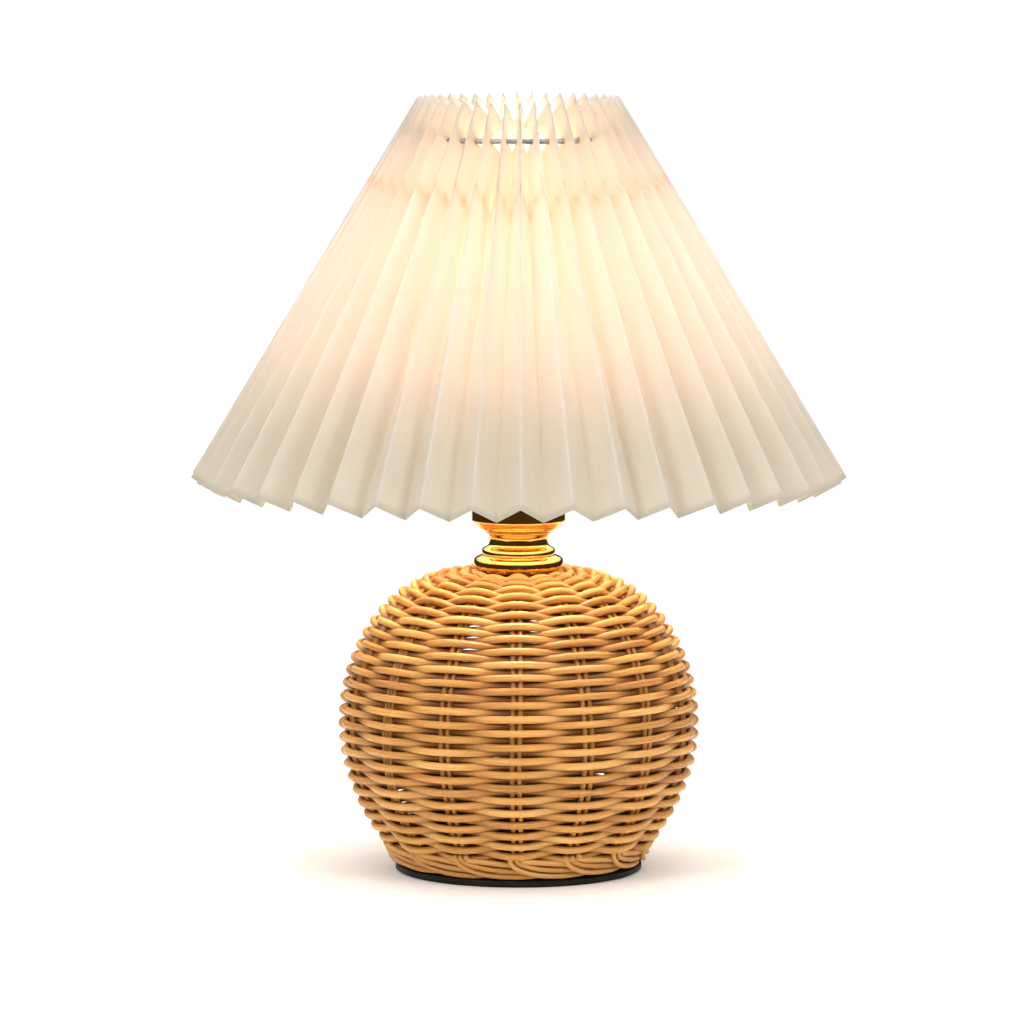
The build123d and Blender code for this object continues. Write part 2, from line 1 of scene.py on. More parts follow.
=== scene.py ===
import json
import math
import bmesh
import bpy
import numpy as np
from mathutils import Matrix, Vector


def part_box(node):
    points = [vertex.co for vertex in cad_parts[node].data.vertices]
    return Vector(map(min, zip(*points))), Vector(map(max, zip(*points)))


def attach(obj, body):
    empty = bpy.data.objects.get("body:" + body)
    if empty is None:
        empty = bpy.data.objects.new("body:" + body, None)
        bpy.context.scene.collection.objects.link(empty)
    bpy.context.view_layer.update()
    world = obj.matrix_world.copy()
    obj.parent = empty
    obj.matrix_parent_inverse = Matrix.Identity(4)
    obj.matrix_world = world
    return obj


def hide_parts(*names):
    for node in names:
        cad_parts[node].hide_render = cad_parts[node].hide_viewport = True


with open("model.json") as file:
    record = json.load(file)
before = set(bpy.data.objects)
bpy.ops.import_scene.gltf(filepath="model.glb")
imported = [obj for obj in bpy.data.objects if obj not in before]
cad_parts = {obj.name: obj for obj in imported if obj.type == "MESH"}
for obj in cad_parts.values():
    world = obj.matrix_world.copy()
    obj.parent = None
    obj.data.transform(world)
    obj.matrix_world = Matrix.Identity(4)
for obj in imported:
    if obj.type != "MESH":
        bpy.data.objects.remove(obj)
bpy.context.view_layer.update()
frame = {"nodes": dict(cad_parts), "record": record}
mm = 0.001
quarter = math.pi / 2


def boxOf(node):
    low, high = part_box(node)
    return np.array(low, float), np.array(high, float)


# mesh helpers

def gridQuads(rows, cols, wrap):
    # each quad joins a point to its neighbours in the next column and row; wrap closes the columns
    i = np.arange(rows - 1)[:, None]
    j = np.arange(cols if wrap else cols - 1)[None, :]
    k = (j + 1) % cols
    return np.stack([i * cols + j, i * cols + k, (i + 1) * cols + k, (i + 1) * cols + j], -1).reshape(-1, 4)


def makePiece(name, points, quads, uv=None, marks=None, merge=0.0):
    # points is (n, 3), quads (m, 4), uv one pair per quad corner, marks point attributes by name
    used, quads = np.unique(quads, return_inverse=True)
    quads = quads.reshape(-1, 4)
    points = points.reshape(-1, 3)[used]
    mesh = bpy.data.meshes.new(name)
    mesh.vertices.add(len(points))
    mesh.vertices.foreach_set("co", points.astype(np.float32).ravel())
    mesh.loops.add(quads.size)
    mesh.loops.foreach_set("vertex_index", quads.astype(np.int32).ravel())
    mesh.polygons.add(len(quads))
    mesh.polygons.foreach_set("loop_start", np.arange(0, quads.size, 4, dtype=np.int32))
    mesh.polygons.foreach_set("use_smooth", np.ones(len(quads), bool))
    if uv is not None:
        layer = mesh.uv_layers.new(name="strand")
        layer.data.foreach_set("uv", uv.astype(np.float32).ravel())
    for key, values in (marks or {}).items():
        layer = mesh.attributes.new(key, "FLOAT", "POINT")
        layer.data.foreach_set("value", values.reshape(-1)[used].astype(np.float32))
    mesh.update(calc_edges=True)
    if merge:
        bm = bmesh.new()
        bm.from_mesh(mesh)
        bmesh.ops.remove_doubles(bm, verts=bm.verts, dist=merge)
        bm.to_mesh(mesh)
        bm.free()
    mesh.validate()
    piece = bpy.data.objects.new(name, mesh)
    bpy.context.collection.objects.link(piece)
    return piece


tubeMerge = 0.001 * mm   # points of a tube's end are one point


def sweepTubes(name, paths, outward, radius, sides, marks=None):
    # a round section carried along each path: paths (k, n, 3), outward (k, n, 3) a rough side direction,
    # radius (k, n). The section's frame is the path's tangent, the outward side and their cross product.
    # The ends shrink to a point, so each tube closes.
    count, length = paths.shape[:2]
    tangent = np.gradient(paths, axis=1)
    tangent /= np.linalg.norm(tangent, axis=-1, keepdims=True)
    side = np.cross(tangent, outward)
    side /= np.linalg.norm(side, axis=-1, keepdims=True)
    up = np.cross(side, tangent)
    angle = -math.pi + 2 * math.pi * np.arange(sides) / sides
    ring = np.cos(angle)[:, None] * up[:, :, None] + np.sin(angle)[:, None] * side[:, :, None]
    points = paths[:, :, None] + radius[:, :, None, None] * ring
    quads = gridQuads(length, sides, True)
    quads = (quads[None] + (np.arange(count) * length * sides)[:, None, None]).reshape(-1, 4)
    along = np.concatenate([np.zeros((count, 1)), np.cumsum(
        np.linalg.norm(np.diff(paths, axis=1), axis=-1), axis=1)], axis=1)
    low = np.broadcast_to(along[:, :-1, None], (count, length - 1, sides))
    high = np.broadcast_to(along[:, 1:, None], (count, length - 1, sides))
    left = np.broadcast_to(np.arange(sides) / sides, low.shape)
    right = left + 1 / sides
    uv = np.stack([np.stack([low, left], -1), np.stack([low, right], -1),
                   np.stack([high, right], -1), np.stack([high, left], -1)], -2)
    spread = {key: np.broadcast_to(v[:, :, None], points.shape[:3]) for key, v in (marks or {}).items()}
    return makePiece(name, points, quads, uv.reshape(-1, 2), spread, merge=tubeMerge)


def roundEnds(length, steps=4):
    # a share of the radius for each sample: a quarter circle at both ends, 1 between
    share = np.ones(length)
    curve = np.sqrt(1 - (1 - np.arange(steps) / steps) ** 2)
    share[:steps] = curve
    share[-steps:] = curve[::-1]
    return share


def smoothPath(controls, count):
    # a Catmull-Rom curve through controls (k, m, 3): cubic between neighbours, tangents from the points
    # on each side
    padded = np.concatenate([2 * controls[:, :1] - controls[:, 1:2], controls,
                             2 * controls[:, -1:] - controls[:, -2:-1]], axis=1)
    at = np.linspace(0, controls.shape[1] - 1 - 1e-9, count)
    i = at.astype(int)
    t = (at - i)[None, :, None]
    a, b, c, d = (padded[:, i + step] for step in range(4))
    return 0.5 * (2 * b + (c - a) * t + (2 * a - 5 * b + 4 * c - d) * t ** 2
                  + (3 * b - a - 3 * c + d) * t ** 3)


wanderSines = ((0.43, 0.5), (1.17, 0.3), (2.71, 0.2))   # rate and share of each


def wander(x, seed, scale=1.0):
    # a smooth random line: a sum of sines of unrelated lengths, about -1 to 1
    rng = np.random.default_rng(seed)
    total = np.zeros_like(x, dtype=float)
    for rate, share in wanderSines:
        total += share * np.sin(scale * rate * x + rng.uniform(0, 2 * math.pi))
    return total


# materials

class Nodes:
    # a few short ways to add and join shader nodes

    def __init__(self, name):
        self.material = bpy.data.materials.new(name)
        self.material.use_nodes = True
        self.tree = self.material.node_tree
        self.shader = self.tree.nodes["Principled BSDF"]
        self.output = self.tree.nodes["Material Output"]
        self.place = self.add("ShaderNodeTexCoord")

    def add(self, kind, **settings):
        node = self.tree.nodes.new(kind)
        for key, value in settings.items():
            setattr(node, key, value)
        return node

    def put(self, socket, value):
        if hasattr(value, "is_linked"):
            self.tree.links.new(value, socket)
        else:
            socket.default_value = value

    def math(self, operation, a, b):
        node = self.add("ShaderNodeMath", operation=operation)
        self.put(node.inputs[0], a)
        self.put(node.inputs[1], b)
        return node.outputs[0]

    def sum(self, *parts):
        # values, each times its weight, added up
        total = None
        for value, weight in parts:
            part = self.math("MULTIPLY", value, weight)
            total = part if total is None else self.math("ADD", total, part)
        return total

    def noise(self, vector, scale, detail=2.0, rough=0.5):
        node = self.add("ShaderNodeTexNoise")
        self.put(node.inputs["Vector"], vector)
        self.put(node.inputs["Scale"], scale)
        self.put(node.inputs["Detail"], detail)
        self.put(node.inputs["Roughness"], rough)
        return node.outputs["Fac"]

    def scaled(self, vector, scale):
        node = self.add("ShaderNodeMapping")
        self.put(node.inputs["Vector"], vector)
        node.inputs["Scale"].default_value = scale
        return node.outputs["Vector"]

    def ramp(self, value, *stops):
        node = self.add("ShaderNodeValToRGB")
        self.put(node.inputs["Fac"], value)
        band = node.color_ramp.elements
        while len(band) < len(stops):
            band.new(0.5)
        for element, (where, colour) in zip(band, stops):
            element.position = where
            element.color = (*colour, 1.0)
        return node.outputs["Color"]

    def mix(self, share, a, b, blend="MIX"):
        node = self.add("ShaderNodeMix", data_type="RGBA", blend_type=blend)
        self.put(node.inputs["Factor"], share)
        self.put(node.inputs["A"], a if hasattr(a, "is_linked") else (*a, 1.0))
        self.put(node.inputs["B"], b if hasattr(b, "is_linked") else (*b, 1.0))
        return node.outputs["Result"]

    def between(self, value, low, high):
        node = self.add("ShaderNodeMapRange")
        self.put(node.inputs["Value"], value)
        node.inputs["To Min"].default_value = low
        node.inputs["To Max"].default_value = high
        return node.outputs["Result"]

    def mark(self, name):
        return self.add("ShaderNodeAttribute", attribute_name=name).outputs["Fac"]

    def bump(self, height, strength, distance):
        node = self.add("ShaderNodeBump")
        self.put(node.inputs["Height"], height)
        node.inputs["Strength"].default_value = strength
        node.inputs["Distance"].default_value = distance
        self.put(self.shader.inputs["Normal"], node.outputs["Normal"])
        return node.outputs["Normal"]

    def set(self, **values):
        for key, value in values.items():
            self.put(self.shader.inputs[key.replace("_", " ")], value)


stops = (0.3, 0.7)   # where the darker and the lighter tone of a mix begin

# what a look has unless it says otherwise: noise scales, the grain's stretch, and the height of its relief
plainLook = {"patch": 60.0, "grain": 900.0, "stretch": (1, 1, 1), "slowShare": 0.6, "fineShare": 0.4,
             "metal": 0.0, "ior": 1.5, "relief": 0.1, "reliefHeight": 0.2 * mm}


def finishMaterial(name, look):
    # plain made surfaces: two tones mixed by a slow noise, fine grain in roughness and height
    look = {**plainLook, **look}
    n = Nodes(name)
    where = n.place.outputs["Object"]
    slow = n.noise(where, look["patch"], 3.0)
    fine = n.noise(n.scaled(where, look["stretch"]), look["grain"], 4.0, 0.6)
    blend = n.sum((slow, look["slowShare"]), (fine, look["fineShare"]))
    n.set(Base_Color=n.ramp(blend, (stops[0], look["dark"]), (stops[1], look["light"])))
    n.set(Roughness=n.between(fine, *look["roughness"]), Metallic=look["metal"], IOR=look["ior"])
    if "glow" in look:
        n.set(Emission_Color=(*look["glow"], 1.0), Emission_Strength=look["power"])
    n.bump(fine, look["relief"], look["reliefHeight"])
    return n.material


looks = {
    "foot_pad": {"dark": (0.012, 0.011, 0.011), "light": (0.035, 0.033, 0.03), "roughness": (0.8, 0.95),
                 "grain": 1500.0, "relief": 0.4},
    "black_plate": {"dark": (0.003, 0.0025, 0.002), "light": (0.011, 0.009, 0.007),
                    "roughness": (0.38, 0.6), "ior": 1.3, "grain": 500.0, "stretch": (1, 6, 1),
                    "relief": 0.15},
    "steel": {"dark": (0.42, 0.42, 0.43), "light": (0.66, 0.66, 0.67), "roughness": (0.25, 0.45),
              "metal": 1.0, "relief": 0.15},
    "cast_weight": {"dark": (0.06, 0.06, 0.065), "light": (0.16, 0.16, 0.165), "roughness": (0.55, 0.8),
                    "metal": 0.6, "grain": 400.0, "relief": 0.5},
    "board_wood": {"dark": (0.42, 0.26, 0.12), "light": (0.68, 0.48, 0.27), "roughness": (0.55, 0.8),
                   "grain": 260.0, "stretch": (1, 12, 12), "relief": 0.3},
    "contact_brass": {"dark": (0.58, 0.38, 0.13), "light": (0.82, 0.62, 0.28), "roughness": (0.2, 0.4),
                      "metal": 1.0},
    "holder_plastic": {"dark": (0.78, 0.75, 0.69), "light": (0.88, 0.86, 0.8), "roughness": (0.25, 0.4),
                       "relief": 0.04},
    "holder_ceramic": {"dark": (0.76, 0.74, 0.69), "light": (0.88, 0.86, 0.82), "roughness": (0.5, 0.7),
                       "relief": 0.2},
    "bush_plastic": {"dark": (0.012, 0.012, 0.012), "light": (0.03, 0.03, 0.03), "roughness": (0.4, 0.6),
                     "relief": 0.1},
    "bulb_metal": {"dark": (0.62, 0.62, 0.63), "light": (0.85, 0.85, 0.86), "roughness": (0.15, 0.3),
                   "metal": 1.0, "relief": 0.05},
    "bulb_solder": {"dark": (0.5, 0.5, 0.52), "light": (0.72, 0.72, 0.74), "roughness": (0.3, 0.5),
                    "metal": 1.0},
    "bulb_black_glass": {"dark": (0.01, 0.01, 0.012), "light": (0.03, 0.03, 0.035),
                         "roughness": (0.05, 0.15), "relief": 0.02},
    "bulb_glass": {"dark": (0.95, 0.9, 0.8), "light": (1.0, 0.97, 0.9), "roughness": (0.35, 0.55),
                   "relief": 0.02, "glow": (1.0, 0.92, 0.8), "power": 72.0},
    "bulb_inner_glass": {"dark": (0.85, 0.88, 0.88), "light": (0.95, 0.97, 0.97), "roughness": (0.03, 0.1),
                         "relief": 0.02},
    "filament": {"dark": (1.0, 0.75, 0.35), "light": (1.0, 0.86, 0.5), "roughness": (0.5, 0.7),
                 "glow": (1.0, 0.72, 0.38), "power": 30.0},
    "frame_wire": {"dark": (0.3, 0.29, 0.28), "light": (0.5, 0.49, 0.47), "roughness": (0.3, 0.5),
                   "metal": 0.9, "relief": 0.08},
}


brassLook = {
    "dark": (0.86, 0.5, 0.12),
    "light": (0.97, 0.66, 0.24),
    "roughness": (0.05, 0.1),
    "patch": 90.0,
    "lines": 120.0,          # lathe lines, finer along the axis
    "lineStretch": (1, 1, 60),
    "relief": 0.03,
    "reliefHeight": 0.1 * mm,
}


def brassMaterial():
    # mirror brass with faint lathe lines running round it
    n = Nodes("polishedBrass")
    where = n.place.outputs["Object"]
    lines = n.noise(n.scaled(where, brassLook["lineStretch"]), brassLook["lines"], 3.0)
    slow = n.noise(where, brassLook["patch"], 2.0)
    n.set(Base_Color=n.ramp(slow, (stops[0], brassLook["dark"]), (stops[1], brassLook["light"])))
    n.set(Metallic=1.0, Roughness=n.between(slow, *brassLook["roughness"]))
    n.bump(lines, brassLook["relief"], brassLook["reliefHeight"])
    return n.material


caneLook = {
    "streaks": (34.0, 15.0, 1),   # a metre along the cane, and once round it
    "slow": (9.0, 0.6, 1),
    "patch": 34.0,
    "fibreShare": 0.62,
    "slowShare": 0.22,
    "patchShare": 0.16,
    "toneShare": 0.11,
    "stops": (0.3, 0.52, 0.8),
    "dark": (0.38, 0.145, 0.024),
    "mid": (0.66, 0.32, 0.072),
    "light": (0.9, 0.55, 0.19),
    # painted shade colour, for where a cane dips under its neighbours
    "paintedCreviceShade": (0.18, 0.05, 0.008),
    "roughness": (0.28, 0.46),
    "relief": 0.35,
    "reliefHeight": 0.5 * mm,
}


def caneMaterial():
    # long fibres along each cane, a slow change of tone from length to length, and painted shade where it
    # dips inside
    n = Nodes("honeyCane")
    strand = n.add("ShaderNodeUVMap", uv_map="strand").outputs["UV"]
    fibre = n.noise(n.scaled(strand, caneLook["streaks"]), 1.0, 4.0, 0.62)
    slow = n.noise(n.scaled(strand, caneLook["slow"]), 1.0, 2.0)
    patches = n.noise(n.place.outputs["Object"], caneLook["patch"], 2.0)
    value = n.sum((fibre, caneLook["fibreShare"]), (slow, caneLook["slowShare"]),
                  (patches, caneLook["patchShare"]), (n.mark("tone"), caneLook["toneShare"]))
    tones = (caneLook["dark"], caneLook["mid"], caneLook["light"])
    colour = n.ramp(value, *zip(caneLook["stops"], tones))
    # painted shade: the colour turns towards the dark crevice colour by the mark of how far the cane dips
    # inside
    n.set(Base_Color=n.mix(n.mark("deep"), colour, caneLook["paintedCreviceShade"]))
    n.set(Roughness=n.between(fibre, *caneLook["roughness"]))
    n.bump(fibre, caneLook["relief"], caneLook["reliefHeight"])
    return n.material


clothLook = {
    "warp": (2600.0, 60.0, 1),     # threads across and along the strip
    "weft": (60.0, 2600.0, 1),
    "slubs": (300.0, 40.0, 1),
    "shades": (0.95, 1.05),        # of the front, between its darkest and palest threads
    "paintedValleyGlowShare": 0.6,
    "paintedRidgeHighlightShare": 0.7,
    "lineShare": 0.45,
    "roughness": (0.75, 0.95),
    "sheen": 0.15,
    "specular": 0.2,
    "relief": 0.12,
    "reliefHeight": 0.2 * mm,
    "front": (1.0, 0.89, 0.72),
    "through": (0.86, 0.79, 0.81),
    "throughShare": 0.34,
    # painted shadow colour of the line below the ring
    "line": (0.80, 0.52, 0.32),
    # painted highlight colour on the outer folds, painted glow colour in the inner folds
    "paintedRidgeHighlight": (1.0, 0.98, 0.93),
    "paintedValleyGlow": (0.98, 0.76, 0.40),
}


def clothMaterial():
    # ivory cloth that lets the bulb's light through: a woven surface mixed with its translucent side.
    # The zigzag line near the top, below the ring, is a painted shadow: the translucent colour and part of
    # the front colour turn to a warm dark tone along it.
    n = Nodes("ivoryCloth")
    strand = n.add("ShaderNodeUVMap", uv_map="strand").outputs["UV"]
    warp = n.noise(n.scaled(strand, clothLook["warp"]), 1.0, 2.0)
    weft = n.noise(n.scaled(strand, clothLook["weft"]), 1.0, 2.0)
    slubs = n.noise(n.scaled(strand, clothLook["slubs"]), 1.0, 3.0)
    weave = n.sum((warp, 0.5), (weft, 0.5))
    tint = n.sum((weave, 0.5), (slubs, 0.5))
    tones = [tuple(min(1.0, c * shade) for c in clothLook["front"]) for shade in clothLook["shades"]]
    front = n.ramp(tint, *zip(stops, tones))
    # painted shadow line: the mark of where it lies on the cloth
    line = n.mark("paintedShadowLine")
    through = n.mix(line, clothLook["through"], clothLook["line"])
    # painted glow: the translucent colour times the height gain
    paintedGlowGain = n.add("ShaderNodeCombineColor")
    for channel in paintedGlowGain.inputs:
        n.put(channel, n.mark("paintedGlowGain"))
    through = n.mix(1.0, through, paintedGlowGain.outputs[0], "MULTIPLY")
    # painted highlight along the outer folds and painted glow in the inner folds
    for fold in ("paintedValleyGlow", "paintedRidgeHighlight"):
        share = n.math("MULTIPLY", n.mark(fold), clothLook[fold + "Share"])
        front = n.mix(share, front, clothLook[fold])
    n.set(Base_Color=n.mix(n.math("MULTIPLY", line, clothLook["lineShare"]), front, clothLook["line"]))
    n.set(Roughness=n.between(weave, *clothLook["roughness"]))
    n.set(Sheen_Weight=clothLook["sheen"], Specular_IOR_Level=clothLook["specular"])
    normal = n.bump(weave, clothLook["relief"], clothLook["reliefHeight"])
    glow = n.add("ShaderNodeBsdfTranslucent")
    n.put(glow.inputs["Color"], through)
    n.put(glow.inputs["Normal"], normal)
    both = n.add("ShaderNodeMixShader")
    both.inputs["Fac"].default_value = clothLook["throughShare"]
    n.tree.links.new(n.shader.outputs[0], both.inputs[1])
    n.tree.links.new(glow.outputs[0], both.inputs[2])
    n.tree.links.new(both.outputs[0], n.output.inputs["Surface"])
    return n.material


print("materials")
materials = {slot: finishMaterial(slot, look) for slot, look in looks.items()}
materials["polished_brass"] = brassMaterial()
materials["cane"] = caneMaterial()
materials["shade_cloth"] = clothMaterial()
slots = {row["node"]: row["material_slot"] for row in frame["record"]["subparts"]}
for node, slot in slots.items():
    mesh = frame["nodes"][node].data
    mesh.materials.clear()
    mesh.materials.append(materials[slot])


def addPiece(piece, body, slot, *nodes):
    piece.data.materials.append(materials[slot])
    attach(piece, body)
    if nodes:
        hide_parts(*nodes)


# camera

camera = {"distance": 3.0, "height": 0.496, "aim": 0.1645, "field": 0.468, "side": -0.003, "sensor": 36.0,
          "far": 200.0}


def makeCamera():
    data = bpy.data.cameras.new("camera")
    eye = Vector((camera["side"], -camera["distance"], camera["height"]))
    aim = Vector((camera["side"], 0, camera["aim"]))
    data.sensor_width = camera["sensor"]
    data.lens = camera["sensor"] * (aim - eye).length / camera["field"]
    data.clip_end = camera["far"]
    thing = bpy.data.objects.new("camera", data)
    thing.location = eye
    thing.rotation_euler = (aim - eye).to_track_quat("-Z", "Y").to_euler()
    bpy.context.collection.objects.link(thing)
    bpy.context.scene.camera = thing


makeCamera()

# the woven ball

ball = {
    "middle": 4.2 * mm,        # middle of the wall below the outermost canes
    "crownDrop": 10.9 * mm,
    "rim": 1.6 * mm,           # crown's flat past the neck
    "caneRadius": 1.69 * mm,
    "swing": 2.62 * mm,        # a weaver passes this far outside the stakes
    "tuck": 0.78,              # and this share of it inside them
    "spread": 0.2,             # pressed flatter, so wider, where it passes inside
    "rowPitch": 3.05 * mm,
    "stakes": 15,
    "frontStake": -90.8,       # degrees
    "sides": 12,
    "perHalfWave": 13,
    "bands": 4,
}

weaver = {
    "first": 1.2 * mm,         # height of the lowest row's start
    "strays": ((0.16 * mm, 3, 1.0), (0.08 * mm, 4, 3.1)),   # size, seed and scale
    "fullR": 45 * mm,          # nearer the axis the swing shrinks, down to the least share
    "least": 0.72,
    "blunt": 0.16,             # rounds the wave's tops
    "uneven": 0.045,           # in thickness
    "thinning": 0.1,           # where the swing shrinks
    "lap": 3,
    "pressFrom": 0.3,          # wave height below which the cane is pressed flatter
    "tones": ((1.0, 6, 0.35), (0.6, 7, 2.0)),
    "deepMiddle": 0.5,         # painted shade at the middle of the wave, and how fast it grows inwards
    "deepSlope": 0.62,
    "deepPower": 1.3,
    "deepest": 0.8,
}

reeds = {
    "two": {"radius": 1.22 * mm, "gap": 3.35 * mm, "places": (-0.5, 0.5)},
    "three": {"radius": 0.95 * mm, "gap": 2.15 * mm, "places": (-1, 0, 1)},
    "threeAt": (4, 8, 13),     # stakes made of three thin reeds
    "stop": 13 * mm,           # the ends stop this far from the axis
    "samples": 150,
    "sides": 8,
    "tones": (-0.6, 0.9),
    "closeR": 40 * mm,         # nearer the axis the reeds close up, down to the least share
    "least": 0.55,
    "sway": 0.25 * mm,
    "swayRate": 90,
    "swayStep": 3,             # between one stake and the next
    "push": 0.15 * mm,         # by the weavers, in and out
    "uneven": 0.04,            # in thickness
    "unevenRate": 300,
    # painted shade laid evenly along every reed
    "deep": 0.2,
}

bush = {"spread": 8 * mm, "lift": 3.2 * mm, "fade": 14 * mm, "reach": 60 * mm}

wickerLow, wickerHigh = boxOf("wicker_body")
neckLow, neckHigh = boxOf("neck_base")
ballR = (wickerHigh[0] - wickerLow[0]) / 2
ballTop = wickerHigh[2]
ballFoot = wickerLow[2]
centreZ = ballTop + ball["crownDrop"] - ballR
crownRise = ballR - ball["crownDrop"]
flatR = (neckHigh[0] - neckLow[0]) / 2 + ball["rim"]
crownArc = (ballR ** 2 - crownRise ** 2 - flatR ** 2) / (2 * (ballR - crownRise))
startAngle = math.asin((ballFoot - centreZ) / (ballR - ball["middle"]))
joinAngle = math.atan2(crownRise - crownArc, flatR)
sphereLength = (ballR - ball["middle"]) * (joinAngle - startAngle)
crownLength = (crownArc - ball["middle"]) * (quarter - joinAngle)


def meridian(s):
    # distance s up the middle of the wall: an arc of the sphere, a tighter arc of the crown, then flat
    radius, small = ballR - ball["middle"], crownArc - ball["middle"]
    lower = startAngle + s / radius
    upper = np.minimum(joinAngle + (s - sphereLength) / small, quarter)
    over = np.maximum(s - sphereLength - crownLength, 0)
    onSphere = s < sphereLength
    angle = np.where(onSphere, lower, upper)
    r = np.where(onSphere, radius * np.cos(lower), flatR + small * np.cos(upper) - over)
    z = np.where(onSphere, centreZ + radius * np.sin(lower),
                 centreZ + crownRise - crownArc + small * np.sin(upper))
    return r, z, angle


def onWall(s, turn, lift):
    # a point of the wall at distance s and turn radians, lifted along the wall's normal
    r, z, angle = meridian(s)
    c, d = np.cos(turn), np.sin(turn)
    normal = np.stack([np.cos(angle) * c, np.cos(angle) * d, np.sin(angle)], -1)
    return np.stack([r * c, r * d, z], -1) + lift[..., None] * normal, normal


def partRows(points):
    # rows of weaving part above the cord bush: they lift most right over it, less higher up
    away = np.abs(np.arctan2(points[..., 0], points[..., 1]))
    near = np.exp(-(away * bush["reach"] / bush["spread"]) ** 2) * (points[..., 1] > 0)
    lift = bush["lift"] * np.exp(-np.maximum(points[..., 2] - bushZ, 0) / bush["fade"])
    out = points.copy()
    out[..., 2] += near * lift
    return out


bushLow, bushHigh = boxOf("cord_bush")
bushZ = (bushLow[2] + bushHigh[2]) / 2


def makeWeavers():
    # one long cane wound in a spiral: its distance up the wall grows with the turn, and it swings in and
    # out as cos(half the stakes times the turn), so that with an odd number of stakes each row alternates
    half = ball["stakes"] / 2
    wall = sphereLength + crownLength
    turns = (wall - weaver["first"]) / ball["rowPitch"]
    perTurn = ball["stakes"] * ball["perHalfWave"]
    count = int(turns * perTurn)
    t = np.arange(count) / perTurn
    phase = 2 * math.pi * t
    turn = phase + math.radians(ball["frontStake"])
    s = weaver["first"] + ball["rowPitch"] * t
    s = s + sum(size * wander(phase, seed, scale) for size, seed, scale in weaver["strays"])
    wave = np.cos(half * phase)
    room = np.clip(meridian(s)[0] / weaver["fullR"], weaver["least"], 1)
    rounded = wave * (1 + weaver["blunt"] - weaver["blunt"] * wave ** 2)
    points, normal = onWall(s, turn, ball["swing"] * room * rounded * np.where(wave > 0, 1, ball["tuck"]))
    points = partRows(points)
    radius = ball["caneRadius"] * (1 + weaver["uneven"] * wander(phase, 5, 1.7))
    radius = radius * (1 - weaver["thinning"] + weaver["thinning"] * room)
    radius = radius * (1 + ball["spread"] * np.clip(weaver["pressFrom"] - wave, 0, 1))
    tone = sum(size * wander(phase, seed, scale) for size, seed, scale in weaver["tones"])
    # painted shade: darkest where the weaver passes inside the stakes
    deep = np.clip(weaver["deepMiddle"] - weaver["deepSlope"] * wave, 0, 1) ** weaver["deepPower"]
    deep = deep * weaver["deepest"]
    cuts = np.linspace(0, turns, ball["bands"] + 1)
    for band in range(ball["bands"]):
        # a band ends where the cane is behind a stake, a few points into the next band
        ends = (np.round(cuts[band:band + 2] * ball["stakes"]) * ball["perHalfWave"]).astype(int)
        take = slice(ends[0], min(ends[1] + weaver["lap"], count))
        ring = radius[take] * roundEnds(len(t[take]))
        piece = sweepTubes(f"weaver{band + 1}", points[None, take], normal[None, take], ring[None],
                           ball["sides"], {"tone": tone[None, take], "deep": deep[None, take]})
        addPiece(piece, "base", "cane", *(["wicker_body"] if band == 0 else []))


def makeStakes():
    # upright reeds in twos and threes that follow the wall from the foot to the crown
    wall = sphereLength + crownLength + flatR - reeds["stop"]
    rng = np.random.default_rng(11)
    rows = []
    for stake in range(ball["stakes"]):
        kind = reeds["three" if stake in reeds["threeAt"] else "two"]
        for place in kind["places"]:
            rows.append((stake, place * kind["gap"], kind["radius"], rng.uniform(*reeds["tones"])))
    stake, aside, size, tone = (np.array(v, float)[:, None] for v in zip(*rows))
    s = np.linspace(0, wall, reeds["samples"])[None] + 0 * aside
    r = meridian(s)[0]
    shift = aside * np.clip(r / reeds["closeR"], reeds["least"], 1)
    shift = shift + reeds["sway"] * np.sin(s * reeds["swayRate"] + stake * reeds["swayStep"])
    turn = math.radians(ball["frontStake"]) + 2 * math.pi * stake / ball["stakes"] + shift / r
    lift = reeds["push"] * np.sin(s / ball["rowPitch"] * math.pi + stake)
    points, normal = onWall(s, turn, lift)
    radius = size * roundEnds(reeds["samples"])[None]
    radius = radius * (1 + reeds["uneven"] * np.sin(s * reeds["unevenRate"] + stake))
    marks = {"tone": tone + 0 * s, "deep": reeds["deep"] + 0 * s}
    piece = sweepTubes("stakes", partRows(points), normal, radius, reeds["sides"], marks)
    addPiece(piece, "base", "cane")


border = {
    "rods": 3,
    "rodRadius": 1.3 * mm,
    "samples": 60,
    "sides": 10,
    # a rod's places: share of a turn between stakes, mm past the plate's edge, mm above the plate
    "route": (
        (-0.02, 5.4, 12.0), (0.02, 4.2, 8.4), (0.16, 3.0, 5.4), (0.45, 1.6, 3.2),
        (0.85, 0.4, 2.1), (1.28, -1.0, 1.9), (1.66, -3.6, 2.6), (2.00, -7.4, 4.4),
    ),
    "wobble": (0.012, 0.3 * mm, 0.2 * mm),
    # how far the second and third rods lie above and outside the first, at each place
    "rise": (0.1, 0.3, 0.75, 1, 1, 0.95, 0.7, 0.4),
    "riseStep": 2.05,          # rod radii
    "out": (0.2, 0.4, 0.8, 1, 0.8, 0.4, 0.1, 0),
    "outStep": 0.9,
    "turnStep": 0.045,
    "overPlate": 1.02,         # least height of a rod's middle, in rod radii
    "tones": (-0.5, 0.9),
    # painted shade along each rod, growing towards its end where it tucks under the next
    "deep": 0.12,
    "deepEnd": 0.4,
    "tilt": 0.02,
}


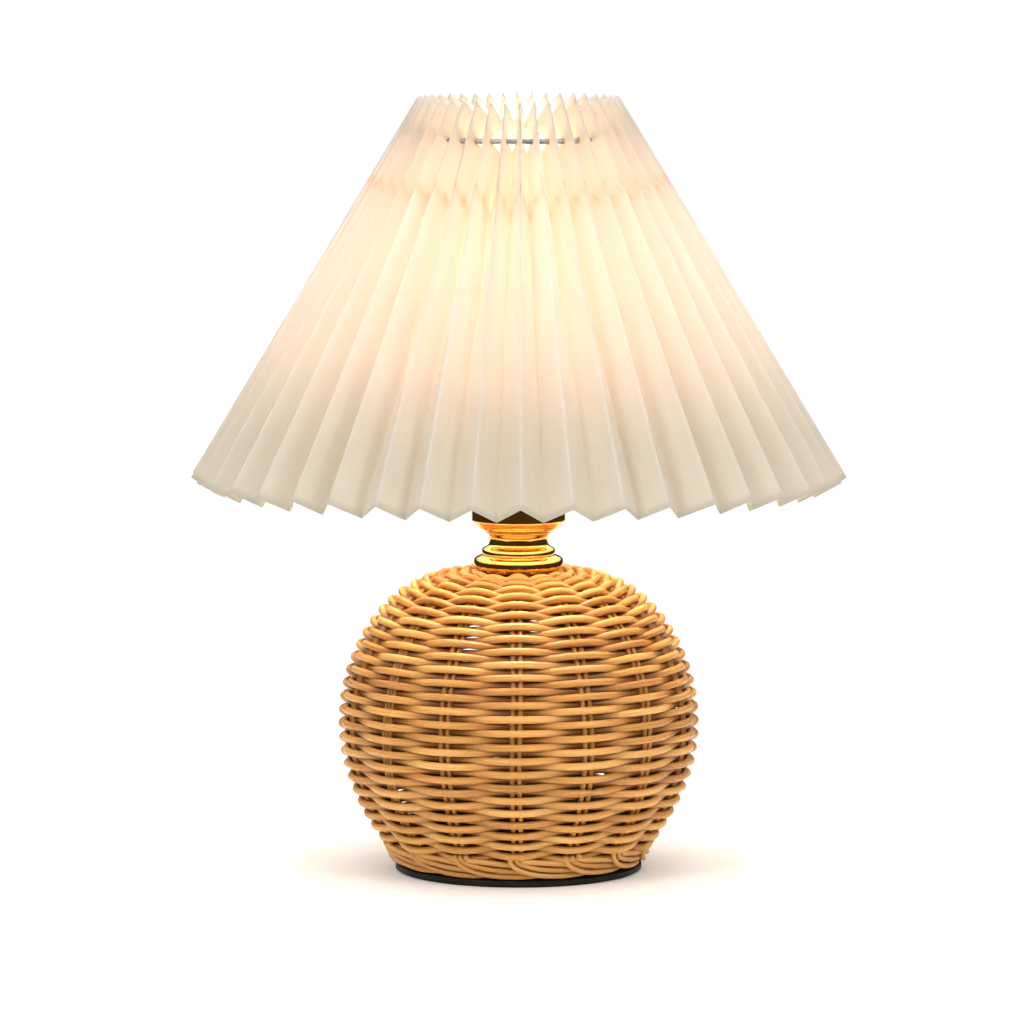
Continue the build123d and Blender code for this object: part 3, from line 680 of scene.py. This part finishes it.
def makeBorder():
    # each stake's rods bend sideways at the foot, sweep along the plate as a scallop and tuck in under
    # the next: a smooth curve through the route's places
    plateLow, plateHigh = boxOf("base_plate")
    plateR, plateTop = (plateHigh[0] - plateLow[0]) / 2, plateHigh[2]
    rod = border["rodRadius"]
    route = np.array(border["route"]) * (1, mm, mm) + (0, plateR, 0)
    spacing = 2 * math.pi / ball["stakes"]
    controls, tones = [], []
    rng = np.random.default_rng(23)
    for stake in range(ball["stakes"]):
        for layer in range(border["rods"]):
            step = route + rng.uniform(-1, 1, (len(route), 3)) * np.array(border["wobble"])
            start = math.radians(ball["frontStake"]) + spacing * stake + (layer - 1) * border["turnStep"]
            rise = layer * border["riseStep"] * rod * np.array(border["rise"])
            radius = step[:, 1] + layer * border["outStep"] * rod * np.array(border["out"])
            turn = start + step[:, 0] * spacing
            height = plateTop + np.maximum(step[:, 2] + rise, rod * border["overPlate"])
            controls.append(np.stack([radius * np.cos(turn), radius * np.sin(turn), height], -1))
            tones.append(rng.uniform(*border["tones"]))
    paths = partRows(smoothPath(np.array(controls), border["samples"]))
    none = 0 * paths[..., 0]
    outward = paths * np.array([1, 1, 0]) + np.array([0, 0, border["tilt"]])
    radius = rod * roundEnds(border["samples"])[None] + none
    share = np.linspace(0, 1, border["samples"])[None]
    # painted shade, darkest at the tucked-in end
    marks = {"tone": np.array(tones)[:, None] + none,
             "deep": border["deep"] + border["deepEnd"] * share ** 4 + none}
    piece = sweepTubes("footBorder", paths, outward, radius, border["sides"], marks)
    addPiece(piece, "base", "cane", "wicker_foot_border")


# the turned brass neck

neck = {
    "segments": 128,
    "bore": 5.25 * mm,
    "sharp": 0.02 * mm,        # width of an edge between the outline and a flat end
    "merge": 0.0001 * mm,
    "steps": 6,                # points between two places of the outline
    # outlines from the top down: radius in mm and share of the piece's height
    "neck_collar": ((15.4, 1.0), (15.35, 0.97), (15.0, 0.92), (14.3, 0.84), (13.75, 0.76), (13.6, 0.66),
                    (13.6, 0.53), (13.8, 0.44), (14.5, 0.37), (15.7, 0.31), (16.55, 0.25), (16.85, 0.18),
                    (16.9, 0.12), (16.8, 0.05), (16.4, 0.0)),
    "neck_base": ((17.3, 1.0), (17.6, 0.97), (18.6, 0.91), (19.7, 0.82), (20.35, 0.7), (20.58, 0.55),
                  (20.6, 0.4), (20.5, 0.27), (20.1, 0.16), (19.4, 0.08), (18.6, 0.0)),
}


def makeTurned(node, name):
    # a smooth outline turned about the axis and closed along the bore
    low, high = boxOf(node)
    places = np.array(neck[node])[::-1]
    outer = np.stack([places[:, 0] * mm, low[2] + places[:, 1] * (high[2] - low[2])], -1)
    outer = smoothPath(outer[None], len(outer) * neck["steps"])[0]
    bore, sharp = neck["bore"], neck["sharp"]
    ends = np.array([
        (outer[-1, 0] - sharp, outer[-1, 1]), (bore + sharp, outer[-1, 1]), (bore, outer[-1, 1] - sharp),
        (bore, outer[0, 1] + sharp), (bore + sharp, outer[0, 1]), (outer[0, 0] - sharp, outer[0, 1]),
    ])
    section = np.concatenate([outer, ends, outer[:1]])
    turn = 2 * math.pi * np.arange(neck["segments"]) / neck["segments"]
    r, z = section[:, :1], section[:, 1:]
    points = np.stack([r * np.cos(turn), r * np.sin(turn), z + 0 * turn], -1)
    quads = gridQuads(len(section), neck["segments"], True)
    piece = makePiece(name, points, quads, merge=neck["merge"])
    addPiece(piece, "base", "polished_brass", node)


makeTurned("neck_collar", "neckCollar")
makeTurned("neck_base", "neckBase")
makeWeavers()
makeStakes()
makeBorder()
print("woven ball")

# the pleated shade

shade = {
    "pleats": 42,
    "frontRidge": -89.4,       # degrees
    "topR": 45.9 * mm,         # middle of the cloth at the outer folds
    "bottomR": 149.7 * mm,
    "aboveRing": 18.0 * mm,
    "belowRing": 154.6 * mm,
    "depthTop": 16.8 * mm,     # of a pleat, square to the folds
    "depthBottom": 12.9 * mm,
    "notch": 5.5 * mm,         # half height of a notch on the inner fold
    "notchRoom": 0.35 * mm,
    "cloth": 0.3 * mm,
    "across": (0.0, 0.05, 0.16, 0.34, 0.52, 0.7, 0.86, 0.95),
    "rowsAbove": 12,
    "rowsBelow": 46,
    "packed": 1.15,            # rows below the notch stand closer near it
    "line": (18.0 * mm, 32.3 * mm),   # painted shadow line below the ring, on the outer and inner folds
    "lineFade": (1.8 * mm, 0.5 * mm),   # below and above
    "uneven": 0.02,            # in pleat depth
    "sway": 0.0055,            # of a fold at the bottom, in radians, and how it grows
    "swayPower": 1.3,
    "belly": 0.35 * mm,
    "roundOuter": 0.012,       # rounding of the folds, as a share of a panel
    "roundInner": 0.03,
    "droop": 0.012,            # the top edge is lower on the inner folds
    "fray": 0.0012,
    "mouthShare": 0.309,       # widening of the notch's mouth with the pleat depth
    "panelInset": 11 * mm,     # from the outer folds to a panel's mean circle
    "paintedRidgeHighlightWidth": 0.025,       # shares of a panel that the painted ridge highlight and the painted valley glow reach over
    "paintedValleyGlowWidth": 0.12,
    "paintedValleyGlowHeight": ((0.25, 0.15), (0.6, 1.0)),   # share of the height and strength of the painted valley glow
    # painted glow gain by the share of the height
    "paintedGlowGain": ((0.0, 0.46), (0.12, 0.48), (0.35, 0.72), (0.5, 0.74), (0.7, 0.8), (0.95, 0.97)),
}


def makeShade():
    # folds run straight from top to bottom. Outer folds lie on a cone; inner folds stand inside them by
    # the pleat depth, square to the folds. Between two folds the cloth is ruled, its ends eased round,
    # with a slight belly. A wedge is left out of each inner fold where the frame's ring passes.
    ringLow, ringHigh = boxOf("frame_top_ring")
    wire = (ringHigh[2] - ringLow[2]) / 2
    ringR, ringZ = (ringHigh[0] - ringLow[0]) / 2 - wire, (ringHigh[2] + ringLow[2]) / 2
    topZ, bottomZ = ringZ + shade["aboveRing"], ringZ - shade["belowRing"]
    fall, spread = topZ - bottomZ, shade["bottomR"] - shade["topR"]
    lean = math.atan2(spread, fall)
    folds = 2 * shade["pleats"]
    rng = np.random.default_rng(5)
    sway = rng.normal(0, 1, folds)
    deeper = rng.normal(0, 1, folds)
    belly = rng.normal(0, 1, folds)
    share = np.array(shade["across"])
    column = (np.arange(folds)[:, None] + share[None]).ravel()
    this = column.astype(int)
    following = (this + 1) % folds
    part = column - this
    a = np.where(this % 2 == 0, part, 1 - part)      # 0 on an outer fold, 1 on an inner one
    roundOuter, roundInner = shade["roundOuter"], shade["roundInner"]

    def cloth(t):
        # t is (rows, columns), 0 at the top edge and 1 at the bottom
        depth = shade["depthTop"] + (shade["depthBottom"] - shade["depthTop"]) * t
        jitter = (1 - part) * deeper[this] + part * deeper[following]
        depth = depth * (1 + shade["uneven"] * jitter)
        r, z = shade["topR"] + spread * t, topZ - fall * t
        eased = a + roundOuter * np.exp(-a / roundOuter) - roundInner * np.exp(-(1 - a) / roundInner)
        step = math.pi / shade["pleats"]

        def foldPoint(index, inward):
            turn = math.radians(shade["frontRidge"]) + index * step
            turn = turn + shade["sway"] * sway[index % folds] * t ** shade["swayPower"]
            radius = r - inward * depth * math.cos(lean)
            return np.stack([radius * np.cos(turn), radius * np.sin(turn)], -1)

        outer = np.where(this % 2 == 0, this, this + 1)
        inner = np.where(this % 2 == 0, this + 1, this)
        share = a[None, :, None]
        flat = (1 - share) * foldPoint(outer, 0.0) + share * foldPoint(inner, 1.0)
        pull = (eased - a)[None] * depth
        length = np.linalg.norm(flat, axis=-1)
        curve = shade["belly"] * belly[this] * np.sin(math.pi * a) * np.sin(math.pi * np.clip(t, 0, 1))
        side = np.where(this % 2 == 0, 1.0, -1.0)
        out = flat / length[..., None]
        across = np.stack([-out[..., 1], out[..., 0]], -1)
        flat = flat - out * (pull * math.cos(lean))[..., None] + across * (side * curve)[..., None]
        height = z - eased * depth * math.sin(lean)
        return np.concatenate([flat, height[..., None]], -1)

    # where the notch's edges cross each column
    share = (topZ - ringZ) / fall
    depth = shade["depthTop"] + (shade["depthBottom"] - shade["depthTop"]) * share
    reach = wire + shade["notchRoom"]
    rHere = shade["topR"] + spread * share + shade["mouthShare"] * depth * a - a * depth / math.cos(lean)
    mouth = rHere.min()
    inside = np.clip((ringR - rHere) / (ringR - mouth), 0, 1)
    bow = np.sqrt(np.clip(reach ** 2 - np.maximum(rHere - ringR, 0) ** 2, 0, None))
    half = np.where(rHere < ringR, reach + (shade["notch"] - reach) * inside, bow)
    sine = math.sin(lean)
    tilt = fall + a * sine * (shade["depthBottom"] - shade["depthTop"])

    def rowAt(z):
        return (topZ - a * sine * shade["depthTop"] - z) / tilt

    cutTop, cutBottom = rowAt(ringZ + half), rowAt(ringZ - half)
    above = np.linspace(0, 1, shade["rowsAbove"])[:, None]
    below = np.linspace(0, 1, shade["rowsBelow"])[:, None] ** shade["packed"]
    droop = shade["droop"] * a ** 2
    upper = cloth(droop + (cutTop - droop) * above)
    frays = shade["fray"] * rng.normal(0, 1, folds)[this] * (1 - a)
    lower = cloth(cutBottom + (1 + frays - cutBottom) * below)
    points = np.concatenate([upper, lower])
    columns = len(column)
    quads = np.concatenate([
        gridQuads(shade["rowsAbove"], columns, True),
        gridQuads(shade["rowsBelow"], columns, True) + shade["rowsAbove"] * columns,
    ])
    # outside the notch both halves share one row of points
    shared = np.flatnonzero(half <= 0)
    swap = np.arange(len(points) * columns)
    swap[shade["rowsAbove"] * columns + shared] = (shade["rowsAbove"] - 1) * columns + shared
    quads = swap[quads]
    # the strip's own coordinates, in metres
    halfPleat = (shade["bottomR"] - shade["panelInset"]) * math.sin(math.pi / shade["pleats"])
    panel = math.hypot(shade["depthBottom"], halfPleat)
    rowsDown = np.concatenate([droop + (cutTop - droop) * above, cutBottom + (1 - cutBottom) * below])
    cornerColumn = gridQuads(2, columns, True)[:, [0, 1]] % columns
    left = column * panel
    right = np.where(cornerColumn[:, 1] == 0, folds, column[cornerColumn[:, 1]]) * panel
    slant = math.hypot(fall, spread)

    def stripUv(first, rows):
        v = rowsDown[first:first + rows] * slant
        nextV = np.roll(v, -1, axis=1)
        u = np.broadcast_to(left, v.shape)
        w = np.broadcast_to(right, v.shape)
        corners = (u[:-1], v[:-1]), (w[:-1], nextV[:-1]), (w[1:], nextV[1:]), (u[1:], v[1:])
        return np.stack([np.stack(pair, -1) for pair in corners], -2).reshape(-1, 2)

    uv = np.concatenate([stripUv(0, shade["rowsAbove"]), stripUv(shade["rowsAbove"], shade["rowsBelow"])])
    # the painted shadow line: sharp above, fading below
    outerShadowLine, innerShadowLine = shade["line"]
    lineZ = ringZ - outerShadowLine - (innerShadowLine - outerShadowLine) * a
    drop = lineZ[None] - points[..., 2]
    fadeBelow, fadeAbove = shade["lineFade"]
    paintedShadowLine = np.where(drop > 0, np.exp(-drop / fadeBelow), np.exp(drop / fadeAbove))
    # painted glow: a gain on the translucent colour by the share of the height, brighter near the top where
    # the light gathers in the narrow folds
    heightShare = (points[..., 2] - bottomZ) / fall
    paintedGlowGain = np.interp(heightShare, *zip(*shade["paintedGlowGain"]))
    # painted highlight at the outer folds, painted glow in the inner folds near the top
    paintedRidgeHighlight = np.exp(-a / shade["paintedRidgeHighlightWidth"]) + 0 * drop
    paintedValleyGlow = np.exp(-(1 - a) / shade["paintedValleyGlowWidth"]) * np.interp(heightShare, *zip(*shade["paintedValleyGlowHeight"]))
    marks = {"paintedShadowLine": paintedShadowLine, "paintedGlowGain": paintedGlowGain, "paintedRidgeHighlight": paintedRidgeHighlight, "paintedValleyGlow": paintedValleyGlow}
    piece = makePiece("pleatedShade", points, quads, uv, marks)
    thick = piece.modifiers.new("thickness", "SOLIDIFY")
    thick.thickness = shade["cloth"]
    thick.offset = 0.0
    thick.use_even_offset = False
    addPiece(piece, "shade", "shade_cloth", "pleated_shade")


makeShade()
print("pleated shade")

# floor and light

studio = {
    # the table's outline: a short front, widening with distance as the view does
    "floor": ((-0.5, -0.48), (0.5, -0.48), (0.62, 0.6), (7.0, 60.0), (-7.0, 60.0), (-0.62, 0.6)),
    "floorQuads": ((0, 1, 2, 5), (5, 2, 3, 4)),
    "floorColour": (0.985, 0.984, 0.982),
    "floorShade": 0.995,       # darkest specks
    "floorRoughness": (0.45, 0.5),
    "speck": 40.0,
    "reach": 65.0,
    "aroundZ": -0.0005,
    "skyTop": (1.0, 0.998, 0.994),
    "skyLow": (0.05, 0.035, 0.022),
    "lowEdge": (0.18, 0.46),   # height of the direction where the dark part ends and the bright one starts
    "worldPower": 1.15,
    "boxPower": 13.0,
    "boxSize": 0.7,
    # place and share of the power
    "boxes": {"leftBox": ((-1.3, -1.6, 1.5), 1.0), "rightBox": ((1.4, -1.5, 1.4), 0.95)},
    "boxAim": (0, 0, 0.15),
}


def floorMaterial():
    n = Nodes("paleFloor")
    speck = n.noise(n.place.outputs["Object"], studio["speck"], 2.0)
    pale = studio["floorColour"]
    tones = (tuple(c * studio["floorShade"] for c in pale), pale)
    n.set(Base_Color=n.ramp(speck, *zip(stops, tones)))
    n.set(Roughness=n.between(speck, *studio["floorRoughness"]), Specular_IOR_Level=0.0)
    return n.material


def wallMaterial():
    n = Nodes("paleWall")
    n.set(Base_Color=(0.0, 0.0, 0.0, 1.0), Emission_Color=(*studio["skyTop"], 1.0), Emission_Strength=1.0)
    n.material.cycles.emission_sampling = "NONE"
    return n.material


def makeFloor():
    corners = np.array([(x, y, 0) for x, y in studio["floor"]], float)
    floor = makePiece("floor", corners, np.array(studio["floorQuads"]))
    # the table and the pale wall go on all round, but only the view meets them, not the brass
    reach = studio["reach"]
    square = reach * np.array([(-1, -1, 0), (1, -1, 0), (1, 1, 0), (-1, 1, 0)])
    around = makePiece("floorAround", square + (0, 0, studio["aroundZ"]), np.arange(4)[None])
    walls = np.concatenate([square - (0, 0, reach), square + (0, 0, reach)])
    sides = np.array([(i, (i + 1) % 4, 4 + (i + 1) % 4, 4 + i) for i in range(4)] + [(4, 5, 6, 7)])
    wall = makePiece("paleWall", walls, sides)
    pale = floorMaterial()
    for thing, material in ((floor, pale), (around, pale), (wall, wallMaterial())):
        thing.data.materials.append(material)
    for thing in (around, wall):
        thing.visible_diffuse = thing.visible_glossy = thing.visible_transmission = False
        thing.visible_shadow = False


def makeSky():
    # dark near the level, bright above
    world = bpy.data.worlds.new("studio")
    world.use_nodes = True
    tree = world.node_tree
    sky = tree.nodes["Background"]
    sky.inputs["Strength"].default_value = studio["worldPower"]
    split = tree.nodes.new("ShaderNodeSeparateXYZ")
    ramp = tree.nodes.new("ShaderNodeValToRGB")
    tree.links.new(tree.nodes.new("ShaderNodeTexCoord").outputs["Generated"], split.inputs[0])
    tree.links.new(split.outputs["Z"], ramp.inputs["Fac"])
    tree.links.new(ramp.outputs["Color"], sky.inputs["Color"])
    low, high = ramp.color_ramp.elements
    low.position, high.position = studio["lowEdge"]
    low.color, high.color = (*studio["skyLow"], 1.0), (*studio["skyTop"], 1.0)
    bpy.context.scene.world = world


def makeBoxes():
    aim = Vector(studio["boxAim"])
    for name, (place, share) in studio["boxes"].items():
        data = bpy.data.lights.new(name, "AREA")
        data.size = studio["boxSize"]
        data.energy = studio["boxPower"] * share
        light = bpy.data.objects.new(name, data)
        light.location = place
        light.rotation_euler = (aim - Vector(place)).to_track_quat("-Z", "Y").to_euler()
        bpy.context.collection.objects.link(light)


makeFloor()
makeSky()
makeBoxes()
bpy.context.scene.view_settings.view_transform = "Standard"
print("studio")
